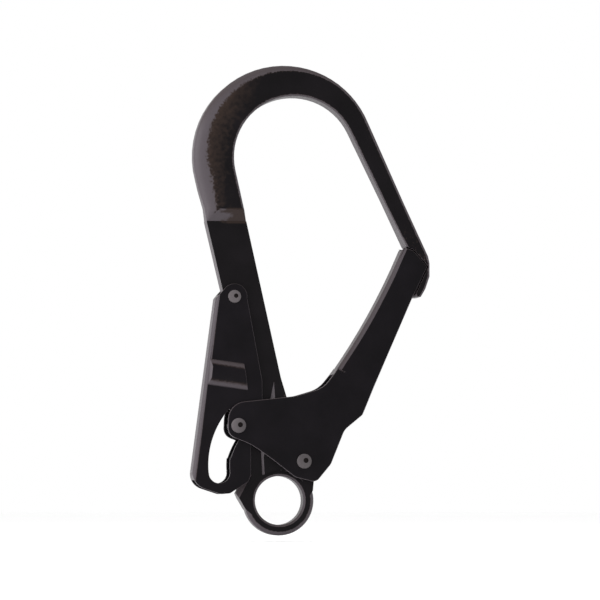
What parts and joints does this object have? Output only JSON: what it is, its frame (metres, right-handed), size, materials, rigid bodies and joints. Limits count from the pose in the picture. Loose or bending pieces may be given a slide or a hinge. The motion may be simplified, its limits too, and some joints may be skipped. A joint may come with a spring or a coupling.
{
  "type": "scaffold snap hook",
  "caption": "Large-opening scaffold snap hook: flat forged hook with a lanyard eye, a spring-closed sheet gate and a squeeze lever on the spine that locks it shut, in dark satin steel.",
  "frame": {"origin": "centre of the lanyard eye, on the hook's middle plane", "axes": "+Z from the eye up to the bow, +Y through the thickness along the axis of the eye and of every pivot, +X towards the nose and the gate's arm; the front face looks along -Y"},
  "size_m": [0.123, 0.0214, 0.2421],
  "materials": {
    "forged_dark": "forged steel with a dark satin coating",
    "sheet_dark": "pressed sheet steel with a dark satin coating",
    "rivet_steel": "darkened satin steel",
    "bush_steel": "plain turned steel",
    "spring_steel": "bright spring wire"
  },
  "bodies": {
    "hook": {"hook_body": "forged_dark", "gate_spring": "spring_steel", "lever_spring": "spring_steel"},
    "gate": {"gate": "sheet_dark", "gate_pivot_rivet": "rivet_steel", "gate_pivot_bush": "bush_steel", "lock_pin_rivet": "rivet_steel", "lock_pin_roller": "bush_steel"},
    "lever": {"lock_lever": "sheet_dark", "lever_pivot_rivet": "rivet_steel", "lever_pivot_bush": "bush_steel"}
  },
  "joints": [
    {"name": "gate_swing", "type": "hinge", "parent": "hook", "child": "gate", "pos_m": [0.0123, 0, 0.0201], "axis": [0, -1, 0], "range_deg": [0, 34], "stiffness_Nm_per_rad": 0.4, "springref_deg": -68.75, "deforming": ["gate_spring"]},
    {"name": "lever_squeeze", "type": "hinge", "parent": "hook", "child": "lever", "pos_m": [-0.0235, 0, 0.1045], "axis": [0, -1, 0], "range_deg": [0, 3.5], "stiffness_Nm_per_rad": 1, "springref_deg": -17.19, "deforming": ["lever_spring"]}
  ],
  "couplings": [
    {"joint": "lever_squeeze", "follows": "gate_swing", "ratio": 0.1}
  ]
}
